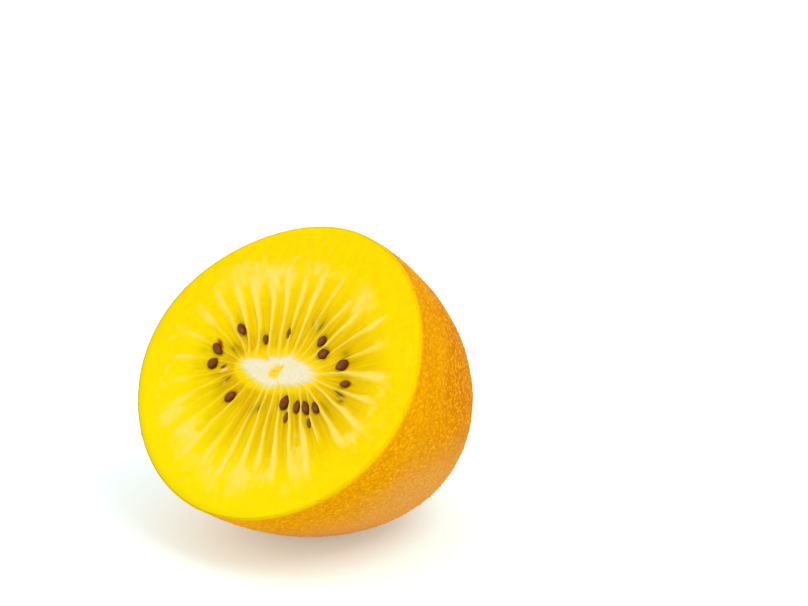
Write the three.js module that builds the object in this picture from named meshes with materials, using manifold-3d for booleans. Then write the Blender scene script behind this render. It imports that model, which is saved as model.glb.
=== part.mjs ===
// Half of a golden kiwi fruit, cut straight across its middle and resting on its skin with the cut
// face tilted up. The fruit grew as one piece, so it is one closed solid: skin and flesh are one body,
// the seeds that the knife bared stand out of the cut face, and the dried flower end closes the far tip.
//
// Fruit frame: the cut face lies in the XY plane and faces +Z, X is the fruit's wide direction, and the
// far tip is on -Z. Row frame: +Z up, the origin in the middle of the flat spot that the half rests on,
// and the cut face looks towards -Y and up.

import * as THREE from "three";
import { mergeVertices } from "three/addons/utils/BufferGeometryUtils.js";
import Module from "manifold-3d";

// Driving dimensions, in millimetres.
const WIDE_RADIUS = 27.5;
const NARROW_RADIUS = 24.5;
const HALF_LENGTH = 38;
const PROFILE_POWER = 2.18; // 2 is an ellipse, more is blunter
const REST_FLAT_DEPTH = 0.7; // how much the soft underside gives where it rests

// How the half lies, in degrees.
const FACE_TILT = 54.4; // the cut face's normal from straight up
const FACE_SPIN = 20.5; // the wide direction, turned in the plane of the cut face

// The outline isn't a true ellipse: two waves round it, as shares of its radius.
const OUTLINE_WAVES = [
  { lobes: 3, share: 0.009, at: 47 },
  { lobes: 4, share: 0.009, at: -31 },
];

// The white core, a flattened strand along the fruit's axis.
const CORE_HALF_WIDTH = 8.2;
const CORE_HALF_HEIGHT = 3.0;
const CORE_TURN = -12;
const CORE_CENTRE = new THREE.Vector2(0.4, -0.15);
const CORE_RISE = 0.35;
const CORE_SWELL_FROM = 0.5; // where the swelling starts to fall off, as a share of the core's edge
const CORE_PIT_RADIUS = 1.0;
const CORE_PIT_DEPTH = 0.5;

// The seed chambers lie round the core, with a thin wall between each two. The walls are given by
// their angle round the core in degrees.
const WALLS = [
  9, 23, 37, 47, 58, 68, 77, 87, 97, 108, 117, 128, 139, 151, 163, 177, 192, 209, 220, 233, 244, 254, 262,
  272, 281, 291, 301, 311, 323, 336, 352,
];
const WALL_HALF_ANGLE = 1.5;
const CHAMBER_SINK = 0.3; // how far the juicy chambers sink below their walls
const CHAMBER_START = [0.01, 0.1]; // the shares of the way from core to skin where they begin to sink
const CHAMBER_END = [0.5, 0.62]; // and where they rise again

// The facets: lines of points along both sides of each wall and down each chamber, and rings from the
// core to the tip.
const CHAMBER_LINES = 2;
const CORE_RINGS = [0, 0.16, 0.6, 1];
const FLESH_RINGS = [0.04, 0.12, 0.22, 0.35, 0.5, 0.62, 0.8, 1];
const SKIN_RINGS = 13;

// The bared seeds. angle is round the core in degrees, reach the share of the way from the core to the
// skin, lean the turn away from the chamber's own line in degrees, and the sizes are in millimetres.
const SEEDS = [
  { angle: 4, reach: 0.23, lean: 12, length: 2.3, width: 1.6 },
  { angle: 31, reach: 0.12, lean: -10, length: 2.1, width: 1.6 },
  { angle: 43, reach: 0.18, lean: 8, length: 2.2, width: 1.3 },
  { angle: 78, reach: 0.16, lean: 4, length: 1.8, width: 0.9 },
  { angle: 102, reach: 0.12, lean: 0, length: 1.9, width: 1.1 },
  { angle: 123, reach: 0.28, lean: -14, length: 2.3, width: 1.2 },
  { angle: 151, reach: 0.29, lean: -50, length: 2.3, width: 1.5 },
  { angle: 167, reach: 0.26, lean: 30, length: 1.9, width: 1.6 },
  { angle: 170, reach: 0.14, lean: 0, length: 1.6, width: 0.9 },
  { angle: 216, reach: 0.18, lean: 10, length: 2.1, width: 1.4 },
  { angle: 276, reach: 0.1, lean: -6, length: 2.5, width: 1.5 },
  { angle: 278, reach: 0.23, lean: 0, length: 1.7, width: 0.8 },
  { angle: 289, reach: 0.155, lean: 6, length: 2.0, width: 1.1 },
  { angle: 298, reach: 0.19, lean: 14, length: 2.3, width: 1.2 },
  { angle: 307, reach: 0.22, lean: 16, length: 2.1, width: 1.1 },
  { angle: 297, reach: 0.33, lean: 0, length: 1.8, width: 0.8 },
  { angle: 343, reach: 0.29, lean: 20, length: 1.8, width: 1.1 },
];
const SEED_THICKNESS = 0.7; // of its width
const SEED_SINK = 0.12; // how far a seed's middle lies under the flesh, in millimetres
const SEED_TAPER = 0.45; // how much narrower its pointed end is
const SEED_SIDES = 7;
const SEED_RINGS = 5;

// The dried flower end: a low ring of sepal scars round a tuft of withered styles.
const FLOWER_RING_RADIUS = 2.6;
const FLOWER_RING_WIDTH = 0.8;
const FLOWER_RING_RISE = 0.4;
const FLOWER_RING_ROOT = 1.5; // how far it reaches into the fruit
const FLOWER_RING_SHOULDER = 0.2; // how far inside the tip its outer and inner edges lie
const FLOWER_RING_SIDES = 20;
const STYLES = 9; // one in the middle, the others round it
const STYLE_LENGTH = 1.6;
const STYLE_UNEVENNESS = 0.2; // by which share of that the others differ
const STYLE_RADIUS = 0.35;
const STYLE_TAPER = 0.5;
const STYLE_PROUD = 0.25; // the share of its length that its middle stands out of the tip
const STYLE_SIDES = 5;
const STYLE_CIRCLE = 1.0;
const STYLE_SPLAY = 24;

const SAME_PLACE = 1e-4; // millimetres between two points that count as one

const rad = THREE.MathUtils.degToRad;
const smooth = THREE.MathUtils.smoothstep;

// Share of the plain ellipse's radius at an angle round the fruit.
function outlineShare(angle) {
  return OUTLINE_WAVES.reduce(
    (share, wave) => share + wave.share * Math.cos(wave.lobes * (angle - rad(wave.at))),
    1,
  );
}

// The fruit's cross-section at the cut, and, scaled down, anywhere between there and the tip.
function rimPoint(angle) {
  const share = outlineShare(angle);
  return new THREE.Vector2(
    WIDE_RADIUS * share * Math.cos(angle),
    NARROW_RADIUS * share * Math.sin(angle),
  );
}

// The core's edge, in the direction that rimPoint has at the same angle.
function corePoint(angle) {
  const turn = rad(CORE_TURN);
  return new THREE.Vector2(
    CORE_HALF_WIDTH * Math.cos(angle - turn),
    CORE_HALF_HEIGHT * Math.sin(angle - turn),
  )
    .rotateAround(new THREE.Vector2(), turn)
    .add(CORE_CENTRE);
}

// A point of the cut face: share runs from the core's edge at 0 to the skin at 1.
function fleshPoint(angle, share) {
  return corePoint(angle).lerp(rimPoint(angle), share);
}

// The lines from the core to the skin along which the surface has its points. Those along a wall's
// sides stay at the height of the cut, and those down a chamber sink.
function surfaceLines() {
  return WALLS.flatMap((wall, i) => {
    const next = WALLS[i + 1] ?? WALLS[0] + 360;
    const start = wall + WALL_HALF_ANGLE;
    const width = next - WALL_HALF_ANGLE - start;
    const down = Array.from({ length: CHAMBER_LINES }, (_, n) => ({
      angle: rad(start + (width * (n + 1)) / (CHAMBER_LINES + 1)),
      sunk: true,
    }));
    const sides = [wall - WALL_HALF_ANGLE, start].map((angle) => ({ angle: rad(angle), sunk: false }));
    return [...sides, ...down];
  });
}

// How far a chamber's floor lies under the cut, along its length.
function chamberDepth(share) {
  return CHAMBER_SINK * smooth(share, ...CHAMBER_START) * (1 - smooth(share, ...CHAMBER_END));
}

// The height of the core, which swells a little and has a small pit in its middle.
function coreHeight(share, point) {
  const swell = CORE_RISE * (1 - smooth(share, CORE_SWELL_FROM, 1));
  const fromCentre = point.distanceTo(CORE_CENTRE);
  return swell - CORE_PIT_DEPTH * (1 - smooth(fromCentre, 0, CORE_PIT_RADIUS));
}

// One line of points from the tip, up the skin, over the rim and in to the middle of the cut face.
function meridian({ angle, sunk }) {
  const core = CORE_RINGS.map((share) => {
    const point = corePoint(angle).sub(CORE_CENTRE).multiplyScalar(share).add(CORE_CENTRE);
    return new THREE.Vector3(point.x, point.y, coreHeight(share, point));
  });
  const flesh = FLESH_RINGS.map((share) => {
    const point = fleshPoint(angle, share);
    return new THREE.Vector3(point.x, point.y, sunk ? -chamberDepth(share) : 0);
  });
  const skin = Array.from({ length: SKIN_RINGS }, (_, ring) => {
    const along = ((ring + 1) / SKIN_RINGS) * (Math.PI / 2);
    const last = ring === SKIN_RINGS - 1;
    const point = rimPoint(angle).multiplyScalar(last ? 0 : Math.cos(along) ** (2 / PROFILE_POWER));
    return new THREE.Vector3(point.x, point.y, -HALF_LENGTH * Math.sin(along) ** (2 / PROFILE_POWER));
  });
  return [...core, ...flesh, ...skin].reverse();
}

// The whole half as one turned sheet, whose every meridian is moved to its own place.
function bodyGeometry() {
  const meridians = surfaceLines().map(meridian);
  const plainProfile = meridians[0].map((point) => new THREE.Vector2(Math.abs(point.x), point.z));
  const body = new THREE.LatheGeometry(plainProfile, meridians.length);
  const place = body.getAttribute("position");
  [...meridians, meridians[0]].forEach((line, step) =>
    line.forEach((point, ring) => place.setXYZ(step * line.length + ring, point.x, point.y, point.z)),
  );
  return body;
}

// A seed: an egg shape whose pointed end looks at the core, sunk in its chamber.
function seedGeometry({ angle, reach, lean, length, width }) {
  const seed = new THREE.SphereGeometry(1, SEED_SIDES, SEED_RINGS).rotateZ(Math.PI / 2);
  const place = seed.getAttribute("position");
  for (let i = 0; i < place.count; i += 1) {
    const slim = 1 - SEED_TAPER * smooth(-place.getX(i), 0, 1);
    place.setXYZ(i, place.getX(i), place.getY(i) * slim, place.getZ(i) * slim);
  }
  const point = fleshPoint(rad(angle), reach);
  const outward = fleshPoint(rad(angle), reach + 0.1).sub(point).angle();
  return seed
    .scale(length / 2, width / 2, (width * SEED_THICKNESS) / 2)
    .rotateZ(outward + rad(lean))
    .translate(point.x, point.y, -SEED_SINK);
}

// The flower end's low ring, which straddles the tip of the skin.
function flowerRingGeometry() {
  const inner = FLOWER_RING_RADIUS - FLOWER_RING_WIDTH;
  const outer = FLOWER_RING_RADIUS + FLOWER_RING_WIDTH;
  const profile = [
    [0, FLOWER_RING_SHOULDER],
    [inner, FLOWER_RING_SHOULDER],
    [FLOWER_RING_RADIUS, -FLOWER_RING_RISE],
    [outer, FLOWER_RING_SHOULDER],
    [outer, FLOWER_RING_ROOT],
    [0, FLOWER_RING_ROOT],
  ].map(([x, y]) => new THREE.Vector2(x, y));
  return new THREE.LatheGeometry(profile, FLOWER_RING_SIDES)
    .rotateX(Math.PI / 2)
    .translate(0, 0, -HALF_LENGTH);
}

// The withered styles, short tapered stubs splayed out of the middle of the ring.
function styleGeometries() {
  return Array.from({ length: STYLES }, (_, n) => {
    const centre = n === 0;
    const length = STYLE_LENGTH * (1 - STYLE_UNEVENNESS * (centre ? 0 : 1 + Math.sin(n ** 2)));
    return new THREE.CylinderGeometry(STYLE_RADIUS, STYLE_RADIUS * STYLE_TAPER, length, STYLE_SIDES)
      .rotateX(Math.PI / 2)
      .translate(0, 0, -length * STYLE_PROUD)
      .rotateY(centre ? 0 : rad(-STYLE_SPLAY))
      .translate(centre ? 0 : STYLE_CIRCLE, 0, -HALF_LENGTH)
      .rotateZ(centre ? 0 : (n / (STYLES - 1)) * Math.PI * 2);
  });
}

const wasm = await Module();
wasm.setup();

// A closed geometry as a solid. Triangles that collapse at a pole are dropped.
function solid(geometry) {
  const bare = geometry.clone();
  ["normal", "uv"].forEach((name) => bare.deleteAttribute(name));
  const merged = mergeVertices(bare, SAME_PLACE);
  const corners = Array.from(merged.index.array);
  const kept = [];
  for (let i = 0; i < corners.length; i += 3) {
    const [a, b, c] = corners.slice(i, i + 3);
    if (a !== b && b !== c && c !== a) kept.push(a, b, c);
  }
  return new wasm.Manifold(
    new wasm.Mesh({
      numProp: 3,
      vertProperties: merged.getAttribute("position").array,
      triVerts: new Uint32Array(kept),
    }),
  );
}

// A solid's surface as a three.js geometry.
function surface(manifold) {
  const mesh = manifold.getMesh();
  const geometry = new THREE.BufferGeometry();
  geometry.setAttribute("position", new THREE.BufferAttribute(new Float32Array(mesh.vertProperties), 3));
  geometry.setIndex(new THREE.BufferAttribute(new Uint32Array(mesh.triVerts), 1));
  return geometry;
}

// Lays the half down as it rests, presses its flat spot, and puts the spot's middle at the origin.
function atRest(fruit) {
  const lying = surface(fruit).rotateZ(rad(FACE_SPIN)).rotateX(rad(FACE_TILT));
  lying.computeBoundingBox();
  const size = lying.boundingBox.getSize(new THREE.Vector3());
  const floor = lying.boundingBox.min.z + REST_FLAT_DEPTH;
  const below = new THREE.BoxGeometry(size.x * 2, size.y * 2, size.z);
  const pressed = solid(lying.translate(0, 0, -floor)).subtract(
    solid(below.translate(0, lying.boundingBox.max.y - size.y / 2, -size.z / 2)),
  );
  const resting = surface(pressed);
  const spot = new THREE.Box2();
  const place = resting.getAttribute("position");
  for (let i = 0; i < place.count; i += 1) {
    if (Math.abs(place.getZ(i)) < SAME_PLACE) {
      spot.expandByPoint(new THREE.Vector2(place.getX(i), place.getY(i)));
    }
  }
  const middle = spot.getCenter(new THREE.Vector2());
  return resting.translate(-middle.x, -middle.y, 0);
}

const pieces = [...SEEDS.map(seedGeometry), flowerRingGeometry(), ...styleGeometries()];
const fruit = pieces.reduce((whole, piece) => whole.add(solid(piece)), solid(bodyGeometry()));

const kiwiHalf = new THREE.Mesh(
  atRest(fruit),
  new THREE.MeshStandardMaterial({ color: 0xe8b80c, roughness: 0.45, metalness: 0 }),
);
kiwiHalf.name = "kiwi_half";

const group = new THREE.Group();
group.add(kiwiHalf);

export default group;
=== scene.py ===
"""Half of a golden kiwi fruit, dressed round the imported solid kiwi_half.

Forms are worked out in the fruit frame, in millimetres: the cut face lies in XY and faces +Z, and the
far tip is on -Z. at_rest() turns them into metres of the row frame. A place on the cut face is given by
its angle round the core and its share of the way from the core's edge (0) to the skin (1).
"""

import math

import bmesh
import bpy
import numpy as np
from mathutils import Matrix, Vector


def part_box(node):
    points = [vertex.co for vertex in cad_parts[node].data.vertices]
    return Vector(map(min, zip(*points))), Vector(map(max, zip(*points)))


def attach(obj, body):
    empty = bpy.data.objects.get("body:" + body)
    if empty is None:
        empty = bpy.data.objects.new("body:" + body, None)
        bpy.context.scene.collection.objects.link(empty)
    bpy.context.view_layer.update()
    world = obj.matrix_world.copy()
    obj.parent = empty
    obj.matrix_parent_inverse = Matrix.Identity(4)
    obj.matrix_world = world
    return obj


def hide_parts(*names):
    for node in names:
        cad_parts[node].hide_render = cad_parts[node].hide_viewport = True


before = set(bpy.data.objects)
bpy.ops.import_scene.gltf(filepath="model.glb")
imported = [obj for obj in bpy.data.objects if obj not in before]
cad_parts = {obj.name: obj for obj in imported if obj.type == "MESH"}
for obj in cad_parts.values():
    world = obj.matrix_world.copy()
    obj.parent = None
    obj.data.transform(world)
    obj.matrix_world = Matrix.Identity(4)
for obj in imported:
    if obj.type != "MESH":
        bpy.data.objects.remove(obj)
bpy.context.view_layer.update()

METRE = 1000.0  # in millimetres

# The fruit's form, as the solid has it.
WIDE_RADIUS = 27.5
NARROW_RADIUS = 24.5
HALF_LENGTH = 38.0
PROFILE_POWER = 2.18
OUTLINE_WAVES = ((3, 0.009, 47.0), (4, 0.009, -31.0))  # lobes, share of the radius, degrees
FACE_TILT = 54.4
FACE_SPIN = 20.5
SOLID_STEPS = 114
SOLID_RINGS = 13

# The core.
CORE_HALF_WIDTH = 8.2
CORE_HALF_HEIGHT = 3.0
CORE_TURN = -12.0
CORE_CENTRE = np.array((0.4, -0.15))
CORE_BUMPS = (  # where its edge strays from the ellipse: angle, half angle, outwards
    (148.0, 14.0, 0.65),
    (338.0, 15.0, 0.25),
    (112.0, 15.0, -1.0),
    (65.0, 10.0, 0.4),
    (28.0, 14.0, -0.3),
    (187.0, 15.0, -0.8),
    (212.0, 12.0, -0.5),
    (247.0, 12.0, 0.35),
    (265.0, 5.0, -0.3),
    (286.0, 7.0, -0.3),
)
PIT_BLOBS = (  # x, y, radius
    (0.0, -0.3, 1.15),
    (-0.55, -0.45, 0.9),
    (0.25, -0.75, 0.75),
    (0.35, 0.15, 0.75),
    (0.9, 0.2, 0.5),
    (1.4, 0.42, 0.38),
)

# The relief of the cut face.
CORE_RISE = 0.22
CHAMBER_DEPTH = 0.24
WALL_RISE = 0.03
POCKET_DEPTH = 0.16  # round each bared seed
PIT_DEPTH = 0.07
BRIM_DEPTH = 0.01  # beside the skin
LUMP_HEIGHT = 0.1
FIBRE_HEIGHT = 0.018

# Sides of the fruit, in degrees.
LEMON_SIDE = 225.0  # where the flesh is most lemon yellow
DUSKY_SIDE = 200.0  # where the chambers are darkest beside the core
DEEP_SIDE = 322.0  # where they are darkest further out
SHADED_OLIVE_SIDE = 195.0  # where olive shade is painted on the flesh and lip beside the skin
SHADED_CRISP_SIDE = 40.0  # where the skin has painted shade, deepest orange, and the clearest painted pebbling

# The skin, and how finely the surfaces are divided.
SKIN_THICKNESS = 0.2
SKIN_LIP = ((0.001, SKIN_THICKNESS), (1e-6, SKIN_THICKNESS * 0.5), (0.0008, 0.03))  # along, inset
SKIN_LIP_RISE = 0.015
TIP = np.array((0, 0, -HALF_LENGTH))
INNER_TIP = np.array((0, 0, -(HALF_LENGTH - SKIN_THICKNESS)))
FLESH_INSET = SKIN_THICKNESS * 0.8
FLESH_LIP = (0.004, 0.02)  # how far along the shell its first rings lie
FACE_COLUMNS = 608
CORE_ROWS = 22
FLESH_ROWS = 104
SIDE_ROWS = 10
SKIN_COLUMNS = 560
SKIN_ROWS = 150
SKIN_INNER_ROWS = 9

# The pale dots of the skin.
LENTICELS = 3600
LENTICEL_SIDES = 7
LENTICEL_RADIUS = 0.13  # of the smallest
LENTICEL_SPREAD = 0.17  # how much more the largest has
LENTICEL_HEIGHT = 0.3  # this and the next two are in shares of the radius
LENTICEL_ROOT = 0.35
LENTICEL_RINGS = ((0.95, -0.3), (1.0, 0.02), (0.62, LENTICEL_HEIGHT * 0.75))  # radius, rise
LENTICEL_FLOOR = 0.02  # how far off the floor they stay
BARE_BELOW = 0.25  # no dots lower than this

# Chamber walls: angle at WALL_SHARE, lean (degrees per share inwards), hook (degrees at the core),
# strength, width, and the share where they fray out.
WALL_SHARE = 0.6
HOOK_SHARE = 0.12
WALLS = (
    (9.2, 2.0, 1.0, 0.75, 0.9, 0.76),
    (23.0, 6.0, 0.0, 0.9, 0.8, 0.8),
    (36.3, 0.0, 2.5, 0.95, 1.2, 0.66),
    (45.6, 9.0, 0.0, 0.8, 0.9, 0.66),
    (57.3, 3.5, 0.0, 0.7, 0.7, 0.76),
    (68.4, -1.5, -2.0, 1.0, 1.1, 0.76),
    (77.5, 1.0, -4.0, 0.9, 1.0, 0.7),
    (88.0, -3.0, -1.0, 1.0, 1.2, 0.77),
    (96.7, 0.0, 3.0, 1.0, 1.1, 0.75),
    (107.8, -1.0, 12.0, 1.0, 1.3, 0.82),
    (117.0, 2.0, 15.0, 0.9, 0.9, 0.84),
    (128.0, 1.0, 6.0, 0.8, 1.0, 0.87),
    (138.5, 1.0, 7.0, 0.8, 1.0, 0.79),
    (151.5, -3.0, 2.0, 0.6, 0.9, 0.8),
    (158.5, 2.0, 1.0, 0.3, 0.6, 0.5),
    (165.5, -6.0, 0.0, 0.7, 0.9, 0.78),
    (179.8, -7.0, 0.0, 0.6, 1.1, 0.76),
    (186.0, -14.0, 0.0, 0.3, 0.6, 0.5),
    (192.8, -16.0, 0.0, 0.75, 1.2, 0.82),
    (200.5, -12.0, 0.0, 0.4, 0.8, 0.8),
    (209.5, -3.0, 0.0, 0.8, 1.1, 0.83),
    (221.0, -1.0, 0.0, 0.85, 1.1, 0.84),
    (233.2, 0.0, 0.0, 0.7, 1.0, 0.84),
    (244.3, 0.0, 0.0, 0.9, 1.0, 0.84),
    (254.3, -3.5, -1.0, 0.9, 1.0, 0.82),
    (263.0, -2.5, 0.0, 0.9, 0.9, 0.75),
    (272.5, -2.0, -1.0, 1.0, 1.0, 0.82),
    (282.2, -3.0, 0.0, 0.9, 0.9, 0.79),
    (290.8, 1.0, 7.0, 1.0, 1.0, 0.83),
    (300.0, -3.0, 12.0, 0.8, 0.7, 0.6),
    (311.3, -2.0, 0.0, 1.0, 1.1, 0.8),
    (322.6, 2.0, 1.0, 1.0, 1.1, 0.8),
    (336.9, -6.0, 3.0, 0.9, 0.85, 0.78),
    (351.0, 9.0, 0.0, 1.0, 1.3, 0.78),
)

# Pale bridges of flesh between two walls: angle, half angle, share, half share, strength.
BRIDGES = (
    (39.0, 8.0, 0.62, 0.11, 0.75),
    (62.0, 5.0, 0.64, 0.04, 0.45),
    (75.0, 6.0, 0.68, 0.08, 0.65),
    (92.0, 9.5, 0.64, 0.13, 0.95),
    (104.0, 8.0, 0.67, 0.12, 0.85),
    (114.5, 6.5, 0.75, 0.13, 0.75),
    (124.0, 5.0, 0.78, 0.1, 0.45),
    (139.0, 3.0, 0.68, 0.1, 0.5),
    (152.5, 3.5, 0.72, 0.1, 0.4),
    (198.0, 6.5, 0.69, 0.14, 0.75),
    (215.5, 7.5, 0.62, 0.15, 0.75),
    (227.0, 6.0, 0.76, 0.09, 0.45),
    (236.0, 6.0, 0.72, 0.08, 0.6),
    (242.0, 6.5, 0.79, 0.09, 0.5),
    (257.0, 7.0, 0.74, 0.13, 0.75),
    (267.5, 5.0, 0.68, 0.07, 0.55),
    (286.8, 5.5, 0.6, 0.22, 0.75),
    (316.8, 6.0, 0.69, 0.07, 0.6),
    (343.5, 6.0, 0.7, 0.05, 0.45),
)

# Sides where the walls stay yellow between the core and their frayed ends: angle, half angle, strength.
YELLOW_WALLS = (
    (14.0, 26.0, 0.45),
    (140.0, 9.0, 0.5),
    (176.0, 38.0, 1.0),
    (213.0, 13.0, 0.5),
    (231.0, 8.0, 0.5),
    (240.0, 14.0, 0.25),
)

# Golden holes in the pale flesh: angle, half angle, share, half share.
HOLES = (
    (216.3, 3.0, 0.53, 0.045),
    (286.6, 2.6, 0.45, 0.05),
    (91.5, 1.6, 0.58, 0.05),
    (101.5, 1.6, 0.57, 0.06),
)

# Bared seeds: angle, share, lean from the chamber's line, length, width, depth of the middle.
SEEDS = (
    (4, 0.23, 10, 2.4, 1.8, 0.12),
    (30, 0.12, 160, 2.1, 1.7, 0.12),
    (43, 0.18, 5, 2.0, 1.4, 0.15),
    (79, 0.16, 0, 1.6, 0.8, 0.25),
    (103, 0.12, 0, 1.7, 1.0, 0.18),
    (124, 0.28, 5, 2.5, 1.2, 0.12),
    (152, 0.29, -20, 2.7, 1.5, 0.1),
    (167, 0.27, 50, 2.1, 1.8, 0.1),
    (215, 0.18, -5, 2.3, 1.5, 0.13),
    (276, 0.1, -20, 2.5, 1.7, 0.1),
    (278, 0.22, -10, 1.8, 0.8, 0.23),
    (289, 0.15, -15, 2.2, 1.2, 0.17),
    (298, 0.18, 0, 2.6, 1.2, 0.12),
    (307, 0.22, -5, 2.3, 1.1, 0.15),
    (297, 0.32, -5, 1.7, 0.6, 0.26),
    (343, 0.29, 10, 2.0, 1.1, 0.15),
)
SEED_THICKNESS = 0.7
SEED_TAPER = 0.34
SEED_BASE = 0.05  # how far every seed's middle lies under the cut, besides its own depth
SEED_RIDGE = 0.03
SEED_DIMPLES = 0.02
SEED_VEIL = 0.8  # how green the deepest ones look
SEED_COLUMNS = 24
SEED_ROWS = 18

# Seeds that lie deeper, seen through the flesh as greenish smears: angle, share, half length, strength.
DEEP_SEEDS = (
    (53.5, 0.27, 1.4, 0.75),
    (60.5, 0.29, 1.1, 0.6),
    (14.0, 0.28, 0.7, 1.0),
    (331.0, 0.3, 0.9, 1.1),
    (327.0, 0.33, 0.8, 0.8),
    (334.5, 0.26, 0.8, 0.6),
    (190.5, 0.12, 0.8, 1.1),
    (197.0, 0.19, 1.2, 0.6),
    (249.0, 0.15, 0.9, 0.8),
    (244.0, 0.17, 0.8, 0.6),
    (140.0, 0.14, 1.3, 0.9),
    (146.0, 0.19, 1.1, 0.4),
    (182.0, 0.2, 1.2, 0.5),
    (205.0, 0.25, 1.2, 0.4),
    (315.0, 0.25, 1.5, 0.6),
    (350.0, 0.24, 1.2, 0.4),
    (157.0, 0.4, 1.1, 0.3),
    (171.0, 0.38, 1.1, 0.3),
    (125.0, 0.2, 0.9, 0.6),
)

# Scraps of the seeds' coats and of juice, the white ones partly whitish fibres and partly painted glints:
# x, y, half length, half width, heading, strength.
SCRAPS = {
    "orange": ((-3.3, 3.7, 0.8, 0.5, 20, 0.7),),
    "dark": (
        (-10.7, 1.9, 0.75, 0.3, 17, 1.0),
        (-9.4, -0.3, 0.65, 0.17, 32, 0.8),
        (7.8, 6.6, 1.05, 0.16, 53, 0.7),
        (6.1, 7.2, 0.8, 0.14, 68, 0.5),
        (12.7, -5.1, 1.25, 0.2, -33, 0.85),
        (13.1, -6.3, 0.55, 0.17, -28, 0.7),
        (-2.7, -6.0, 0.6, 0.16, 69, 0.8),
        (-9.0, 4.7, 0.7, 0.25, -38, 0.4),
    ),
    # whitish marks: partly fibres, partly painted glints
    "white": (
        (-10.4, 1.3, 0.9, 0.26, 15, 0.8),
        (-10.1, -1.0, 0.4, 0.24, 70, 0.3),
        (6.8, 7.3, 1.1, 0.34, 92, 0.32),
        (13.1, -5.8, 0.8, 0.2, -22, 0.22),
    ),
    "red": ((-12.0, 6.2, 1.0, 0.45, -52, 1.0),),
}
SCRAP_COLOURS = {
    "orange": (240, 180, 0),
    "dark": (72, 62, 18),
    "white": (226, 208, 158),
    "red": (176, 62, 6),
}

# The flower end at the far tip: the ring of scars, and the styles in it.
SCAR_RADIUS = 2.6
SCAR_HALF_WIDTH = 0.75
SCAR_RISE = 0.4
SCAR_STEPS = 96
SCAR_SIDES = 16
SEPALS = 5
TIP_SAG = 0.175  # how far the tip falls away under the ring
STYLES = 22
STYLE_CIRCLE = 1.5
STYLE_RADIUS = 0.2
STYLE_TAPER = 0.12
STYLE_STEPS = 8
STYLE_SIDES = 8
GOLDEN_ANGLE = 137.5

# The camera, in degrees and millimetres.
CAMERA_AZIMUTH = 41.09
CAMERA_ELEVATION = 20.0
CAMERA_DISTANCE = 476.4
FACE_ASIDE = -20.38  # where the face's middle lies in the camera's view
FACE_ABOVE = -10.74
FOCAL_PIXELS = 3000.0
IMAGE_WIDTH = 808
SENSOR_WIDTH = 36.0

# The floor, the world, and the soft lights, in metres from the middle of the frame.
FLOOR_HALF_SIZE = 3.0
FLOOR_GLOW = (0.94, 1.06, 1.07, 1)
FLOOR_GLOW_STRENGTH = 0.24
WORLD_STRENGTH = 0.85
LIGHTS = (  # name, right, towards the camera, up, size, power
    ("key", 0.55, 0.55, 0.95, 0.7, 5.5),
    ("fill", -0.9, 0.5, 0.55, 0.9, 1.6),
)


# ---- small mathematics


def smooth(value, low, high):
    """A soft step that is 0 below low and 1 above high."""
    share = np.clip((value - low) / (high - low), 0, 1)
    return share * share * (3 - 2 * share)


def full_turn(steps):
    """The angles of that many equal steps round a full turn, in radians."""
    return np.linspace(0, 2 * math.pi, steps, endpoint=False)


def rotated(x, y, angle):
    """Two coordinates turned by an angle in radians."""
    cos, sin = math.cos(angle), math.sin(angle)
    return x * cos - y * sin, x * sin + y * cos


def along_and_aside(away, heading):
    """How far places lie along a heading in radians, and how far aside of it."""
    cos, sin = math.cos(heading), math.sin(heading)
    return away @ np.array([cos, sin]), away @ np.array([-sin, cos])


def wrapped(degrees):
    """Degrees brought between -180 and 180."""
    return (degrees + 180) % 360 - 180


def bumps_round(degrees, rows):
    """Soft bumps round the core, added up. A row holds an angle, a half angle and a height."""
    return sum(height * np.exp(-((wrapped(degrees - at) / half) ** 2)) for at, half, height in rows)


def face_noise(angle, share, columns, rows, seed):
    """Smooth noise from -1 to 1 over the cut face, in that many cells. It closes round the core."""
    table = np.random.default_rng(seed).uniform(-1, 1, (rows + 2, columns))
    x = (angle / (2 * math.pi) % 1) * columns
    y = np.clip(share, 0, 1) * rows
    column, row = np.floor(x).astype(int), np.floor(y).astype(int)
    fx, fy = smooth(x - column, 0, 1), smooth(y - row, 0, 1)
    left, right = column % columns, (column + 1) % columns
    near = table[row, left] * (1 - fx) + table[row, right] * fx
    far = table[row + 1, left] * (1 - fx) + table[row + 1, right] * fx
    return near * (1 - fy) + far * fy


def space_noise(points, size, seed):
    """Smooth noise from -1 to 1 in space, with bumps of about that size."""
    side = 48
    table = np.random.default_rng(seed).uniform(-1, 1, (side, side, side))
    place = points / size
    cell = np.floor(place).astype(int)
    part = smooth(place - cell, 0, 1)
    total = np.zeros(points.shape[:-1])
    for corner in np.ndindex(2, 2, 2):
        weight = np.ones(points.shape[:-1])
        for axis in range(3):
            weight = weight * (part[..., axis] if corner[axis] else 1 - part[..., axis])
        at = (cell + np.array(corner)) % side
        total += weight * table[at[..., 0], at[..., 1], at[..., 2]]
    return total


# ---- the fruit's form


def rim(angle):
    """The outline of the cut, for angles in radians."""
    waves = (high * np.cos(lobes * (angle - math.radians(at))) for lobes, high, at in OUTLINE_WAVES)
    share = 1 + sum(waves)
    return np.stack([WIDE_RADIUS * share * np.cos(angle), NARROW_RADIUS * share * np.sin(angle)], -1)


def core_edge(angle):
    """The plain ellipse that the core's edge strays from, for angles in radians."""
    turn = math.radians(CORE_TURN)
    x = CORE_HALF_WIDTH * np.cos(angle - turn)
    y = CORE_HALF_HEIGHT * np.sin(angle - turn)
    return np.stack(rotated(x, y, turn), -1) + CORE_CENTRE


def face_point(angle, share):
    """A place on the cut face."""
    inner, outer = core_edge(angle), rim(angle)
    return inner + (outer - inner) * share[..., None]


def place_and_out(angle, at):
    """A place on the cut face, for an angle in degrees, and a line from there away from the core."""
    middle = face_point(np.radians(angle), np.array(at))
    return middle, face_point(np.radians(angle), np.array(at + 0.1)) - middle


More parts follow.
